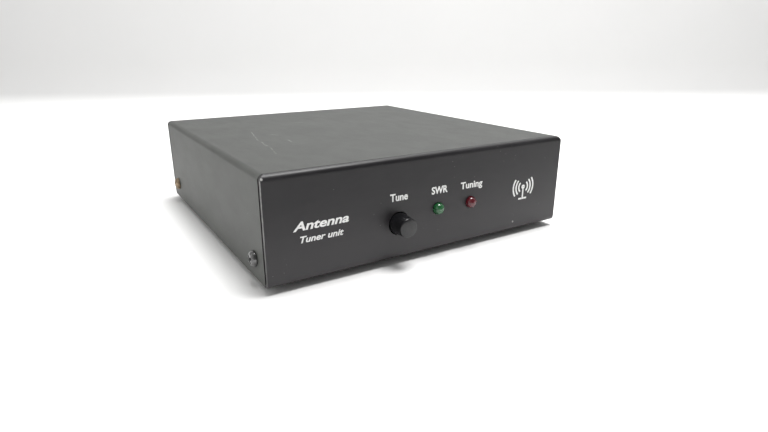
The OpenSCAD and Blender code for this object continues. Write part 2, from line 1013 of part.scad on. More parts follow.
module flat_washer() {
  color(bright_steel) stud_place(washer_at) washer(stud_d / 2 + thread_gap, stud_d * 1.12, flat_washer_t);
}

module wing_nut() {
  wing_span = 10;
  wing_t = 1.6;
  wing_top = 9;
  tip_r = 3.2;
  color(nickel) stud_place(wing_at) difference() {
    union() {
      turned_y() polygon([[0, 0], [stud_d, 0], [stud_d * 0.8, wing_hub_h], [0, wing_hub_h]]);
      for (side = [0, 1]) mirror([0, 0, side]) {
        translate([-wing_t / 2, 0, 0]) rotate([90, 0, 90]) linear_extrude(wing_t) {
          polygon([
            [0.6, stud_d / 2 + 0.6], [wing_hub_h - 0.5, stud_d / 2 + 0.6], [wing_top, wing_span - tip_r],
            [wing_top - tip_r, wing_span], [wing_top - 2 * tip_r, wing_span - tip_r]
          ]);
          translate([wing_top - tip_r, wing_span - tip_r]) circle(r = tip_r);
        }
      }
    }
    translate([0, -1, 0]) rod_y(stud_d / 2 + thread_gap, wing_hub_h + 2);
  }
}

// ---- Power jack and radio jack ----

power_z = board_top + 6.5;
power_nose_r = 4.4;
power_nose_out = 0.3;
power_bore_l = 10;
power_bore_end = case_d + power_nose_out - power_bore_l;
power_root_r = 1.8;
power_root_l = 2;
power_size = [9, 14, 11];
radio_z = board_top + 5;
radio_nose_r = 3;
radio_nose_out = 3.4;
radio_size = [8.5, 13, 8];
jack_face = case_d - sheet;

module power_jack() {
  color(black_plastic) difference() {
    union() {
      at(power_x, jack_face - power_size[1] / 2, board_top)
        block(power_size[0], power_size[1], power_size[2]);
      at(power_x, jack_face, power_z) rod_y(power_nose_r, sheet + power_nose_out);
    }
    at(power_x, power_bore_end, power_z) rod_y(power_bore_d / 2, power_bore_l + 1);
    at(power_x, power_bore_end - power_root_l, power_z) rod_y(power_root_r, power_root_l + 1);
  }
}

module power_pin() {
  pin_r = power_pin_d / 2;
  pin_l = 9;
  tip = 0.5;
  color(nickel) at(power_x, power_bore_end, power_z) turned_y() polygon([
    [0, -power_root_l], [power_root_r, -power_root_l], [power_root_r, 0], [pin_r, 0],
    [pin_r, pin_l - tip], [pin_r - tip, pin_l], [0, pin_l]
  ]);
}

module radio_jack() {
  bore_l = 14.5;
  color(black_plastic) difference() {
    union() {
      at(radio_x, jack_face - radio_size[1] / 2, board_top)
        block(radio_size[0], radio_size[1], radio_size[2]);
      at(radio_x, jack_face, radio_z) rod_y(radio_nose_r, sheet + radio_nose_out);
    }
    at(radio_x, case_d + radio_nose_out - bore_l, radio_z) rod_y(radio_bore_d / 2, bore_l + 1);
  }
}

module radio_jack_nut() {
  nut_t = 1.9;
  color(nickel) at(radio_x, case_d, radio_z) washer(radio_nose_r + thread_gap, radio_nose_r + 1.2, nut_t);
}

module jack_terminal_places() {
  spots = [
    [power_x, 1.5], [power_x - 3, 5], [power_x, 6.3],
    [radio_x, 2], [radio_x - 2.5, 5], [radio_x + 2.5, 5]
  ];
  for (spot = spots) {
    at(spot[0], jack_face - power_size[1] + spot[1], board_top) children();
  }
}

module jack_terminals() {
  color(tin) jack_terminal_places() board_pin();
}

// ---- Assembly ----

chassis();
cover();
clinch_nuts();
cover_screws();
worn_cover_screw();
feet();
tune_button();
switch_plunger();
switch_housing();
switch_spring();
switch_terminals();
green_lamp();
red_lamp();
lamp_leads();
circuit_board();
board_standoffs();
board_screws();
large_cores();
large_windings();
small_cores();
small_windings();
air_coils();
bridge_core();
bridge_winding();
bridge_primary();
relays();
relay_pins();
disc_capacitors();
capacitor_leads();
microcontroller();
chip_socket();
driver_chips();
chip_pins();
crystal();
voltage_regulator();
regulator_tab();
electrolytic_capacitors();
resistors();
diodes();
axial_leads();
trimmer_body();
trimmer_rotor();
coax_shells();
coax_insulators();
coax_contacts();
flange_screws();
flange_nuts();
coax_leads();
ground_stud();
ground_lug();
lock_washer();
stud_nut();
flat_washer();
wing_nut();
power_jack();
power_pin();
radio_jack();
radio_jack_nut();
jack_terminals();
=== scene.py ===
"""The looks of an antenna tuner, a dark painted case with a black front panel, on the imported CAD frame."""

import json
from math import cos, pi, radians, sin

import bmesh
import bpy
from mathutils import Matrix, Vector


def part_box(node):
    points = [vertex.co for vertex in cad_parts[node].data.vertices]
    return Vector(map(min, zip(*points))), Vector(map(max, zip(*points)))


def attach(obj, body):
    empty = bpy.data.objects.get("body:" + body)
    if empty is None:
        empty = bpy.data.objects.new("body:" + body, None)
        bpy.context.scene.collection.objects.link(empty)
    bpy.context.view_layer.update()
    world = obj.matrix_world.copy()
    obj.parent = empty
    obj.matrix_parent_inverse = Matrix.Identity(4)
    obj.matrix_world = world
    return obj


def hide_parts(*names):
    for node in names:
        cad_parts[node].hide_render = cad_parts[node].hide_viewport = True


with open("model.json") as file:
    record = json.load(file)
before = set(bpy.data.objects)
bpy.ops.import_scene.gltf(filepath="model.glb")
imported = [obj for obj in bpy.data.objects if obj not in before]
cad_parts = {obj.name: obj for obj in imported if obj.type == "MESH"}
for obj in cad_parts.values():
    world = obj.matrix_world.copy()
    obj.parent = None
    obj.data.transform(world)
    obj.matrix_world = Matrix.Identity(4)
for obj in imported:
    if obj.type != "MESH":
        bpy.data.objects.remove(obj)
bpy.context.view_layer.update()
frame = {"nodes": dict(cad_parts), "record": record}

MM = 0.001

# Directions in the row frame
FRONT, REAR = Vector((0, -1, 0)), Vector((0, 1, 0))
LEFT, RIGHT = Vector((-1, 0, 0)), Vector((1, 0, 0))


def middle(node):
    low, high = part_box(node)
    return (low + high) / 2


CASE_LOW, CASE_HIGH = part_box("cover")
CASE_BOTTOM, CASE_TOP = CASE_LOW.z, CASE_HIGH.z
FRONT_Y, REAR_Y = (corner.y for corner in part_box("chassis"))
MIDDLE_Y, HALF_DEPTH = (FRONT_Y + REAR_Y) / 2, (REAR_Y - FRONT_Y) / 2


# ---- Materials ----

class Paint:
    """A node material, built step by step. Every socket helper returns an output socket."""

    def __init__(self, name):
        self.material = bpy.data.materials.new(name)
        self.material.use_nodes = True
        self.tree = self.material.node_tree
        self.shader = self.tree.nodes["Principled BSDF"]
        place = self.tree.nodes.new("ShaderNodeTexCoord")
        self.place = place.outputs["Object"]

    def node(self, kind, inputs=(), **settings):
        made = self.tree.nodes.new(kind)
        for key, value in settings.items():
            setattr(made, key, value)
        for key, value in dict(inputs).items():
            self.feed(made.inputs[key], value)
        return made

    def feed(self, socket, value):
        if isinstance(value, bpy.types.NodeSocket):
            self.tree.links.new(value, socket)
        elif isinstance(value, (tuple, list)) and socket.type == "RGBA":
            socket.default_value = (*value, 1)
        else:
            socket.default_value = value

    def set(self, **values):
        for key, value in values.items():
            self.feed(self.shader.inputs[key.replace("_", " ")], value)
        return self

    def stretched(self, scale):
        return self.node("ShaderNodeMapping", {"Vector": self.place, "Scale": scale}).outputs[0]

    def grain(self, size_mm, detail=3.0, rough=0.55, warp=0.0, vector=None):
        """Noise whose lumps are about size_mm across."""
        return self.node("ShaderNodeTexNoise", {
            "Vector": vector or self.place, "Scale": 1000 / size_mm, "Detail": detail,
            "Roughness": rough, "Distortion": warp}).outputs["Fac"]

    def cells(self, size_mm):
        """Distance from scattered points about size_mm apart."""
        return self.node("ShaderNodeTexVoronoi", {
            "Vector": self.place, "Scale": 1000 / size_mm}).outputs["Distance"]

    def between(self, value, low, high, to_low=0.0, to_high=1.0):
        return self.node("ShaderNodeMapRange", {
            "Value": value, "From Min": low, "From Max": high,
            "To Min": to_low, "To Max": to_high}, interpolation_type="SMOOTHSTEP").outputs[0]

    def blend(self, factor, first, second):
        mixed = self.node("ShaderNodeMix", data_type="RGBA")
        self.feed(mixed.inputs["Factor"], factor)
        self.feed(mixed.inputs["A"], first)
        self.feed(mixed.inputs["B"], second)
        return mixed.outputs["Result"]

    def math(self, operation, first, second=0.0, third=0.0):
        made = self.node("ShaderNodeMath", operation=operation)
        for socket, value in zip(made.inputs, (first, second, third)):
            self.feed(socket, value)
        return made.outputs[0]

    def bump(self, height, depth_mm):
        inputs = {"Height": height, "Distance": depth_mm * MM, "Strength": 1.0}
        self.feed(self.shader.inputs["Normal"], self.node("ShaderNodeBump", inputs).outputs[0])

    def axis(self, name):
        return self.node("ShaderNodeSeparateXYZ", {"Vector": self.place}).outputs[name]

    def spot(self, place, radius_mm):
        """1 within a small patch around a place, 0 outside it."""
        distance = self.node("ShaderNodeVectorMath", {0: self.place, 1: tuple(place)},
                             operation="DISTANCE")
        return self.between(distance.outputs["Value"],
                            radius_mm * 0.6 * MM, radius_mm * 1.2 * MM, 1, 0)

    def scratch(self, start, end, width_mm, wander_mm, breaks=0.45):
        """A thin wandering line on the top between two places given in millimetres as (x, y)."""
        start, end = Vector((*start, 0)) * MM, Vector((*end, 0)) * MM
        along = (end - start).normalized()
        across = Vector((-along.y, along.x, 0))
        bend = self.math("MULTIPLY_ADD", self.grain(9, 3), wander_mm * MM, -0.5 * wander_mm * MM)

        def reach(direction):
            dot = self.node("ShaderNodeVectorMath", {0: self.place, 1: tuple(direction)},
                            operation="DOT_PRODUCT")
            return self.math("SUBTRACT", dot.outputs["Value"], start.dot(direction))

        aside = self.math("ABSOLUTE", self.math("ADD", reach(across), bend))
        line = self.between(aside, 0.3 * width_mm * MM, width_mm * MM, 1, 0)
        run = reach(along)
        ends = self.math("MULTIPLY", self.between(run, 0, 1.5 * MM),
                         self.between(run, (end - start).length - 1.5 * MM, (end - start).length, 1, 0))
        whole = self.between(self.grain(3.5, 3), breaks - 0.1, breaks + 0.1)
        top = self.between(self.axis("Z"), CASE_TOP - 0.4 * MM, CASE_TOP - 0.1 * MM)
        return self.math("MULTIPLY", self.math("MULTIPLY", line, ends),
                         self.math("MULTIPLY", whole, top))

    def dust(self, amount=0.5, size_mm=0.5):
        """A few scattered specks: 1 on a speck, 0 elsewhere."""
        speck = self.between(self.cells(size_mm * 6), 0.05, 0.09, 1, 0)
        here = self.between(self.grain(size_mm * 40, 2), 0.62 - 0.1 * amount, 0.66, 0, 1)
        return self.math("MULTIPLY", speck, here)


def coat(name, colour, variation=0.25, rough=0.5, rough_spread=0.12, grain_mm=0.5, grain_depth=0.01,
         patch_mm=9.0, wear=0.0, **shader):
    """A finish with patchy colour and roughness and a fine surface grain."""
    paint = Paint(name)
    patches = paint.grain(patch_mm, 4)
    darker = tuple(c * (1 - variation) for c in colour)
    lighter = tuple(min(c * (1 + variation), 1) for c in colour)
    tone = paint.blend(paint.between(patches, 0.3, 0.7), darker, lighter)
    if wear:
        rubbed = paint.math("MULTIPLY", paint.between(paint.grain(patch_mm / 5, 5), 0.58, 0.7), wear)
        tone = paint.blend(rubbed, tone, tuple(c ** 0.7 for c in colour))
    paint.set(Base_Color=tone,
              Roughness=paint.between(paint.grain(patch_mm * 0.6, 5), 0.3, 0.7,
                                      max(rough - rough_spread, 0.03), rough + rough_spread))
    paint.bump(paint.grain(grain_mm, 3), grain_depth)
    return paint.set(**shader)


def metal(name, colour, rough=0.3, **extra):
    return coat(name, colour, 0.12, rough, 0.1, 0.3, 0.004, 4.0, Metallic=1.0, **extra)


COVER_DARK, COVER_LIGHT = (0.026, 0.028, 0.025), (0.042, 0.045, 0.041)
COVER_GRAIN, COVER_SIDE_SHEEN_AND_DUST = (0.066, 0.070, 0.064), (0.085, 0.089, 0.082)
SCRATCH, COVER_SPECK = (0.15, 0.15, 0.145), (0.2, 0.2, 0.19)
SEAM_SHADE = (0.012, 0.012, 0.012)
# Where the cover's front edge is, in millimetres behind the front of the case; the cover in front of it is
# painted near black as painted shade in the seam
SEAM_START, SEAM_END = 2.38, 2.5
# How far from the middle of the case the painted sheen and the dust on the cover's sides begin and are full,
# in millimetres
SIDE_SHEEN_START, SIDE_SHEEN_END = 61.8, 63.3
# Scratches on the top, each from one (x, y) in millimetres to another
SCRATCHES = [((-40.2, 7.2), (-43.5, -10.2)), ((-43.5, -10.2), (-45.2, -28.2)),
             ((-45.2, -28.2), (-47.8, -42.9)), ((-33.8, -16.3), (-35.0, -25.4)),
             ((-16.0, 22.0), (-9.0, 20.5)), ((-36.0, -2.0), (-33.0, -8.0))]


def cover_paint():
    """Fine textured dark paint, faintly smudged, lightened on its sides by painted light and dust, scratched
    on its top, with painted shade at its front edge.
    """
    paint = Paint("cover_paint")
    fine = paint.grain(0.42, 4, 0.65)
    smudge = paint.grain(24, 4, 0.55, 0.5)
    streak = paint.grain(7, 5, 0.6, 0.2, paint.stretched((1.6, 0.6, 1.3)))
    film = paint.math("ADD", paint.between(smudge, 0.3, 0.75, 0, 0.55),
                      paint.between(streak, 0.35, 0.8, 0, 0.45))
    tone = paint.blend(film, COVER_DARK, COVER_LIGHT)
    tone = paint.blend(paint.between(fine, 0.5, 0.75, 0, 0.5), tone, COVER_GRAIN)
    # Painted light: the cover's sides lightened to look more brightly lit, with some dust in smudged patches
    sides = paint.between(paint.math("ABSOLUTE", paint.axis("X")), SIDE_SHEEN_START * MM, SIDE_SHEEN_END * MM)
    side_sheen_and_dust = paint.math("MULTIPLY", sides, paint.between(smudge, 0.3, 0.7, 0.35, 0.75))
    tone = paint.blend(side_sheen_and_dust, tone, COVER_SIDE_SHEEN_AND_DUST)
    for start, end in SCRATCHES:
        tone = paint.blend(paint.scratch(start, end, 0.34, 3.2), tone, SCRATCH)
    tone = paint.blend(paint.dust(0.7, 0.32), tone, COVER_SPECK)
    # Painted shade: the cover's front edge darkened where the seam meets the front panel
    edge = paint.between(paint.axis("Y"), FRONT_Y + SEAM_START * MM, FRONT_Y + SEAM_END * MM, 1, 0)
    tone = paint.blend(edge, tone, SEAM_SHADE)
    paint.set(Base_Color=tone,
              Roughness=paint.between(paint.math("ADD", film, paint.math("MULTIPLY", fine, 0.5)),
                                      0.1, 1.2, 0.50, 0.60), Specular_IOR_Level=0.42)
    pits = paint.between(paint.cells(0.7), 0.1, 0.6)
    paint.bump(paint.math("ADD", fine, paint.math("MULTIPLY", pits, 0.4)), 0.03)
    return paint


PANEL_DARK, PANEL_LIGHT = (0.0070, 0.0060, 0.0075), (0.0125, 0.0112, 0.0130)
PANEL_FLOOR_LIGHT, PANEL_SPECK, BARE_EDGE_AND_HIGHLIGHT = (0.048, 0.045, 0.048), (0.16, 0.15, 0.16), (0.36, 0.36, 0.35)
# How far from the middle of the case the cut sides of the panels are, in millimetres
CUT_START, CUT_END = 63.38, 63.46


def panel_paint():
    """Smooth satin black paint, wiped, lighter towards the bottom by painted light from the floor, dusted
    with specks, rubbed bare along its cut edges with a painted highlight there, and chipped at one corner.
    """
    paint = Paint("panel_paint")
    fine = paint.grain(0.35, 3)
    wiped = paint.grain(15, 5, 0.6, 0.4, paint.stretched((0.6, 1, 1.7)))
    tone = paint.blend(paint.between(wiped, 0.35, 0.7), PANEL_DARK, PANEL_LIGHT)
    # Painted light: the panel lightened towards the bottom as if lit from the white floor below
    film = paint.between(paint.axis("Z"),
                         CASE_BOTTOM, CASE_BOTTOM + 0.8 * (CASE_TOP - CASE_BOTTOM), 1, 0)
    tone = paint.blend(paint.math("MULTIPLY", film, 0.6), tone, PANEL_FLOOR_LIGHT)
    tone = paint.blend(paint.dust(0.6, 0.26), tone, PANEL_SPECK)
    side = paint.between(paint.math("ABSOLUTE", paint.axis("X")), CUT_START * MM, CUT_END * MM)
    from_middle = paint.math("ABSOLUTE", paint.math("SUBTRACT", paint.axis("Y"), MIDDLE_Y))
    outer = paint.between(from_middle, HALF_DEPTH - 0.55 * MM, HALF_DEPTH - 0.25 * MM)
    # Bare worn cut edges with a painted highlight on them, brightest at the top and fading downwards
    chafed_and_highlit = paint.math("MULTIPLY", paint.between(paint.grain(2.5, 4), 0.35, 0.6, 0.25, 0.7),
                        paint.between(paint.axis("Z"), CASE_BOTTOM, CASE_TOP, 0.12, 1.0))
    rubbed = paint.math("MULTIPLY", paint.math("MULTIPLY", side, outer), chafed_and_highlit)
    chip = paint.spot((CASE_LOW.x + 0.5 * MM, FRONT_Y + 0.2 * MM, CASE_TOP - 1.1 * MM), 0.45)
    speck = paint.spot((39.5 * MM, FRONT_Y, CASE_BOTTOM + 3.6 * MM), 0.42)
    bright = paint.math("MAXIMUM", paint.math("MAXIMUM", rubbed, chip), speck)
    paint.set(Base_Color=paint.blend(bright, tone, BARE_EDGE_AND_HIGHLIGHT),
              Roughness=paint.between(wiped, 0.3, 0.7, 0.33, 0.43), Specular_IOR_Level=0.38)
    paint.bump(fine, 0.010)
    return paint


def lens(name, colour, deep):
    """Tinted clear plastic, slightly clouded."""
    paint = Paint(name)
    cloud = paint.grain(1.6, 2)
    paint.set(Base_Color=paint.blend(cloud, colour, deep),
              Roughness=paint.between(cloud, 0.3, 0.7, 0.08, 0.13),
              Transmission_Weight=0.12, IOR=1.5, Coat_Weight=0.4, Coat_Roughness=0.05)
    paint.bump(paint.grain(2.0, 2), 0.0006)
    return paint


MATERIALS = {
    "panel_paint": panel_paint(),
    "cover_paint": cover_paint(),
    "black_screw": coat("black_screw", (0.10, 0.10, 0.10), 0.3, 0.22, 0.07, 0.3, 0.006, 2.0, 0.25,
                        Metallic=0.7, Coat_Weight=0.6, Coat_Roughness=0.12),
    "worn_screw": coat("worn_screw", (0.27, 0.20, 0.13), 0.5, 0.42, 0.12, 0.35, 0.02, 1.6, 0.5,
                       Metallic=0.5),
    "zinc_steel": metal("zinc_steel", (0.55, 0.57, 0.60), 0.34),
    "nickel_plate": metal("nickel_plate", (0.62, 0.60, 0.56), 0.22),
    "contact_metal": metal("contact_metal", (0.72, 0.58, 0.32), 0.25),
    "foot_rubber": coat("foot_rubber", (0.02, 0.02, 0.021), 0.3, 0.8, 0.1, 0.3, 0.03, 3.0, 0.2),
    "button_plastic": coat("button_plastic", (0.008, 0.008, 0.009), 0.3, 0.14, 0.04, 0.6, 0.002, 3.0),
    "switch_plastic": coat("switch_plastic", (0.02, 0.02, 0.021), 0.2, 0.5, 0.1, 0.3, 0.012, 3.0),
    "jack_plastic": coat("jack_plastic", (0.014, 0.014, 0.015), 0.25, 0.42, 0.1, 0.3, 0.012, 3.0),
    "green_lens": lens("green_lens", (0.022, 0.14, 0.045), (0.010, 0.08, 0.025)),
    "red_lens": lens("red_lens", (0.125, 0.010, 0.018), (0.075, 0.005, 0.010)),
    "tinned_wire": metal("tinned_wire", (0.62, 0.62, 0.64), 0.3),
    "solder_mask": coat("solder_mask", (0.008, 0.09, 0.035), 0.25, 0.3, 0.08, 0.8, 0.01, 6.0,
                        Coat_Weight=0.3, Coat_Roughness=0.2),
    "red_core": coat("red_core", (0.30, 0.025, 0.018), 0.25, 0.5, 0.1, 0.35, 0.02, 4.0, 0.3),
    "dark_core": coat("dark_core", (0.03, 0.03, 0.033), 0.3, 0.55, 0.1, 0.35, 0.02, 4.0, 0.3),
    "enamelled_copper": metal("enamelled_copper", (0.50, 0.16, 0.06), 0.25,
                              Coat_Weight=0.5, Coat_Roughness=0.1),
    "bare_copper": metal("bare_copper", (0.68, 0.32, 0.18), 0.3),
    "relay_plastic": coat("relay_plastic", (0.55, 0.49, 0.37), 0.08, 0.45, 0.08, 0.5, 0.01, 5.0),
    "capacitor_coat": coat("capacitor_coat", (0.36, 0.11, 0.03), 0.15, 0.3, 0.08, 1.0, 0.03, 3.0,
                           Coat_Weight=0.3, Coat_Roughness=0.15),
    "chip_plastic": coat("chip_plastic", (0.018, 0.018, 0.019), 0.2, 0.55, 0.08, 0.25, 0.012, 3.0),
    "can_sleeve": coat("can_sleeve", (0.012, 0.018, 0.07), 0.15, 0.28, 0.06, 1.2, 0.006, 4.0),
    "resistor_coat": coat("resistor_coat", (0.50, 0.34, 0.16), 0.15, 0.35, 0.08, 0.6, 0.01, 2.0),
    "diode_glass": coat("diode_glass", (0.36, 0.09, 0.03), 0.2, 0.12, 0.05, 0.6, 0.004, 1.5,
                        Transmission_Weight=0.3),
    "trimmer_plastic": coat("trimmer_plastic", (0.015, 0.05, 0.26), 0.12, 0.35, 0.08, 0.5, 0.008, 3.0),
    "rotor_plastic": coat("rotor_plastic", (0.70, 0.66, 0.58), 0.08, 0.45, 0.08, 0.4, 0.008, 2.0),
    "insulator_plastic": coat("insulator_plastic", (0.68, 0.64, 0.54), 0.08, 0.4, 0.1, 0.6, 0.01, 3.0,
                              Subsurface_Weight=0.1, Subsurface_Scale=0.001),
    "red_insulation": coat("red_insulation", (0.42, 0.012, 0.012), 0.15, 0.32, 0.06, 0.8, 0.006, 4.0),
}
LETTER_INK = coat("letter_ink", (0.80, 0.80, 0.79), 0.06, 0.5, 0.1, 0.25, 0.006, 1.2)


def dress(obj, paint):
    obj.data.materials.clear()
    obj.data.materials.append(paint.material)


def add_piece(name, mesh, slot_name, body, replaced=(), paint=None, smooth=True):
    """Puts a finished mesh into the scene as a piece of the object."""
    obj = bpy.data.objects.new(name, mesh)
    bpy.context.scene.collection.objects.link(obj)
    for polygon in mesh.polygons:
        polygon.use_smooth = smooth
    dress(obj, paint or MATERIALS[slot_name])
    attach(obj, body)
    if replaced:
        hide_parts(*replaced)
    return obj


# ---- Shapes, drawn in millimetres about their own axis ----

def smooth_step(value):
    value = max(0.0, min(1.0, value))
    return value * value * (3 - 2 * value)


def rounded(corners, radius, closed=False, steps=4):
    """A line of (radius, along) corners with each corner rounded off, save the two ends of an open line."""
    points = [Vector(corner) for corner in corners]
    count = len(points)
    made = []
    for i, corner in enumerate(points):
        if not closed and i in (0, count - 1):
            made.append(tuple(corner))
            continue
        before, after = points[i - 1] - corner, points[(i + 1) % count] - corner
        reach = min(radius, before.length * 0.45, after.length * 0.45)
        start, end = corner + before.normalized() * reach, corner + after.normalized() * reach
        for step in range(steps + 1):
            t = step / steps
            made.append(tuple(start * (1 - t) ** 2 + corner * 2 * t * (1 - t) + end * t ** 2))
    return made


def lathe(profile, closed=False, segments=72, shape=None):
    """A turned solid. shape(radius, along, angle) may change a point's radius and place along the axis."""
    mesh = bmesh.new()
    rings = []
    for radius, along in profile:
        if radius < 1e-6:
            rings.append([mesh.verts.new((0, 0, along))])
            continue
        ring = []
        for i in range(segments):
            angle = 2 * pi * i / segments
            r, a = shape(radius, along, angle) if shape else (radius, along)
            ring.append(mesh.verts.new((r * cos(angle), r * sin(angle), a)))
        rings.append(ring)
    bands = list(zip(rings, rings[1:])) + ([(rings[-1], rings[0])] if closed else [])
    for low, high in bands:
        for i in range(segments):
            j = (i + 1) % segments
            corners = [low[i % len(low)], low[j % len(low)], high[j % len(high)], high[i % len(high)]]
            corners = list(dict.fromkeys(corners))
            if len(corners) > 2:
                mesh.faces.new(corners)
    bmesh.ops.recalc_face_normals(mesh, faces=mesh.faces)
    return mesh


def thread(start, end, pitch, depth):
    """Cuts a screw thread into the outside of a turned solid between two places along its axis."""
    def cut(radius, along, angle):
        if not start < along < end:
            return radius, along
        fade = min(1, (along - start) / pitch, (end - along) / pitch)
        wave = abs(((along / pitch - angle / (2 * pi)) % 1) * 2 - 1)
        return radius - depth * fade * smooth_step(wave * 1.3 - 0.15), along
    return cut


def threaded_line(radius, start, end, pitch):
    """Profile points close enough together to carry a thread."""
    count = int((end - start) / pitch * 8)
    return [(radius, start + (end - start) * i / count) for i in range(count + 1)]


NUT_CHAMFER = 0.97


def hexagon(apothem, height, slope=0.55):
    """Shapes a turned nut into a hexagon whose corners are turned off at both faces."""
    face_r = apothem * NUT_CHAMFER

    def flats(radius, along, angle):
        if radius < apothem * 0.99:
            return radius, along
        across = apothem / cos((angle % (pi / 3)) - pi / 6)
        drop = (across - face_r) * slope
        return across, drop if along < height / 2 else height - drop
    return flats


def hex_nut(apothem, height, bore):
    edge = 0.25
    face_r = apothem * NUT_CHAMFER
    profile = [(bore, edge), (bore + edge, 0), (face_r, 0), (apothem, edge), (apothem, height - edge),
               (face_r, height), (bore + edge, height), (bore, height - edge)]
    return lathe(profile, closed=True, shape=hexagon(apothem, height))


def cross_recess(radius, angle, reach, half_width, depth):
    """Depth of a cross-shaped driver recess at a point of a screw head."""
    x, y = abs(radius * cos(angle)), abs(radius * sin(angle))
    along, aside = max(x, y), min(x, y)
    wall = smooth_step((half_width * (1.25 - 0.4 * along / reach) - aside) / 0.22)
    end = smooth_step((reach - along) / 0.5)
    return depth * wall * end * (1 - 0.35 * along / reach)


def pan_screw(head_r, head_h, shank_r, shank_l):
    """A pan head screw along +Z, its head resting on zero."""
    rings, segments = 26, 80
    recess = (head_r * 0.62, head_r * 0.17, head_h * 0.66)
    on_head = 10  # marks the profile points that the dome places
    profile = [(0, -shank_l), (shank_r - 0.4, -shank_l), *threaded_line(shank_r, 0.4 - shank_l, -0.3, 0.5),
               (shank_r, 0), (head_r - 0.15, 0), (head_r, 0.12)]
    cut = thread(-shank_l, -0.2, 0.5, 0.22)

    def dome(radius):
        return head_h * (0.22 + 0.78 * (1 - (radius / head_r) ** 3.2) ** 0.6)

    def shape(radius, along, angle):
        if along < 0:
            return cut(radius, along, angle)
        if along < 1:
            return radius, along
        return radius, dome(radius) - cross_recess(radius, angle, *recess)

    profile += [(head_r * (1 - i / rings), on_head) for i in range(rings)]
    mesh = lathe(profile, segments=segments, shape=shape)
    pit = mesh.verts.new((0, 0, dome(0) - cross_recess(0, 0, *recess)))
    mesh.verts.ensure_lookup_table()
    last_ring = mesh.verts[-segments - 1:-1]
    for i in range(segments):
        mesh.faces.new((last_ring[i], last_ring[(i + 1) % segments], pit))
    bmesh.ops.recalc_face_normals(mesh, faces=mesh.faces)
    return mesh


def plate(outline, thickness, edge, steps=3):
    """A flat plate from a 2D outline, its edges rounded, lying from zero up along Z."""
    mesh = bmesh.new()
    base = mesh.faces.new([mesh.verts.new((x, y, 0)) for x, y in outline])
    top = bmesh.ops.extrude_face_region(mesh, geom=[base])["geom"]
    raised = [item for item in top if isinstance(item, bmesh.types.BMVert)]
    bmesh.ops.translate(mesh, vec=(0, 0, thickness), verts=raised)
    bmesh.ops.recalc_face_normals(mesh, faces=mesh.faces)
    rims = [e for e in mesh.edges if len(e.link_faces) == 2 and e.calc_face_angle(0) > radians(50)]
    bmesh.ops.bevel(mesh, geom=rims, offset=edge, segments=steps, affect="EDGES", profile=0.5)
    return mesh


def turn_to(direction, place, spin=0.0):
    """The matrix that takes a shape drawn in millimetres along +Z to a place and direction."""
    turn = direction.to_track_quat("Z", "Y").to_matrix().to_4x4()
    return Matrix.Translation(place) @ turn @ Matrix.Rotation(spin, 4, "Z") @ Matrix.Scale(MM, 4)


def solid(name, *placed):
    """One mesh of several drawn shapes, each with the matrix that places it."""
    whole = bmesh.new()
    for shape, matrix in placed:
        shape.transform(matrix)
        part = bpy.data.meshes.new("part")
        shape.to_mesh(part)
        whole.from_mesh(part)
        shape.free()
        bpy.data.meshes.remove(part)
    mesh = bpy.data.meshes.new(name)
    whole.to_mesh(mesh)
    whole.free()
    return mesh


def sharpen(obj, degrees=38):
    """Smooth shading that stops at sharp edges."""
    obj.data.set_sharp_from_angle(angle=radians(degrees))
    return obj


# ---- Front panel ----

def tune_button():
    low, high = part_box("tune_button")
    radius, length = (high.x - low.x) / 2 / MM, (high.y - low.y) / MM
    hole, hole_depth, tip = 2.4, 5.8, radius - 0.55
    crown = [(tip * t, length - 0.38 * t * t) for t in (0.8, 0.6, 0.4, 0.2, 0)]
    profile = [*rounded([(0, hole_depth), (hole, hole_depth), (hole, 0), (radius, 0), (radius, 2.5),
                         (tip, length - 0.38), crown[0]], 0.5, steps=8), *crown[1:]]
    place = Vector((middle("tune_button").x, high.y, middle("tune_button").z))
    mesh = solid("tune_cap", (lathe(profile, segments=128), turn_to(FRONT, place)))
    sharpen(add_piece("tune_cap", mesh, "button_plastic", "tune_button", ["tune_button"]), 50)


def lamp(node, slot_name):
    """The domed lens of a lamp."""
    low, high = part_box(node)
    back, flange_r = high.y, (high.x - low.x) / 2 / MM
    length = (high.y - low.y) / MM
    radius = flange_r - 0.4
    dome = arc((0, length - radius), radius, 0, 90, 15)
    profile = [(0, 0), (flange_r, 0), (flange_r, 1.0), (radius, 1.0), *dome[:-1], (0, length)]
    place = Vector((middle(node).x, back, middle(node).z))
    mesh = solid(node + "_lens", (lathe(profile, segments=64), turn_to(FRONT, place)))
    sharpen(add_piece(node + "_lens", mesh, slot_name, "case", [node]), 40)


# ---- Lettering, printed on the front panel ----

PRINT_UP = 0.03


def on_panel(x, z):
    """The matrix that lays a drawing in millimetres on the front panel, x to the right and y up."""
    place = Vector((x * MM, FRONT_Y - PRINT_UP * MM, CASE_BOTTOM + z * MM))
    return Matrix.Translation(place) @ Matrix.Rotation(pi / 2, 4, "X") @ Matrix.Scale(MM, 4)


def lettering(name, words, left, right, base, top, weight=0.018, slant=0.0):
    """Printed words that reach from left to right, their capitals from base to top."""
    text = bpy.data.curves.new(name, "FONT")
    text.body, text.offset, text.shear, text.extrude = words, weight, slant, 0.004
    text.resolution_u = 5
    drawn = bpy.data.objects.new(name, text)
    bpy.context.scene.collection.objects.link(drawn)
    bpy.context.view_layer.update()
    mesh = bpy.data.meshes.new_from_object(drawn.evaluated_get(bpy.context.evaluated_depsgraph_get()))
    bpy.data.objects.remove(drawn)
    xs, ys = [v.co.x for v in mesh.vertices], [v.co.y for v in mesh.vertices]
    wide, tall = (right - left) / (max(xs) - min(xs)), (top - base) / max(ys)
    mesh.transform(on_panel(left, base) @ Matrix.Diagonal((wide, tall, 4, 1))
                   @ Matrix.Translation((-min(xs), 0, 0)))
    add_piece(name, mesh, None, "case", paint=LETTER_INK, smooth=False)


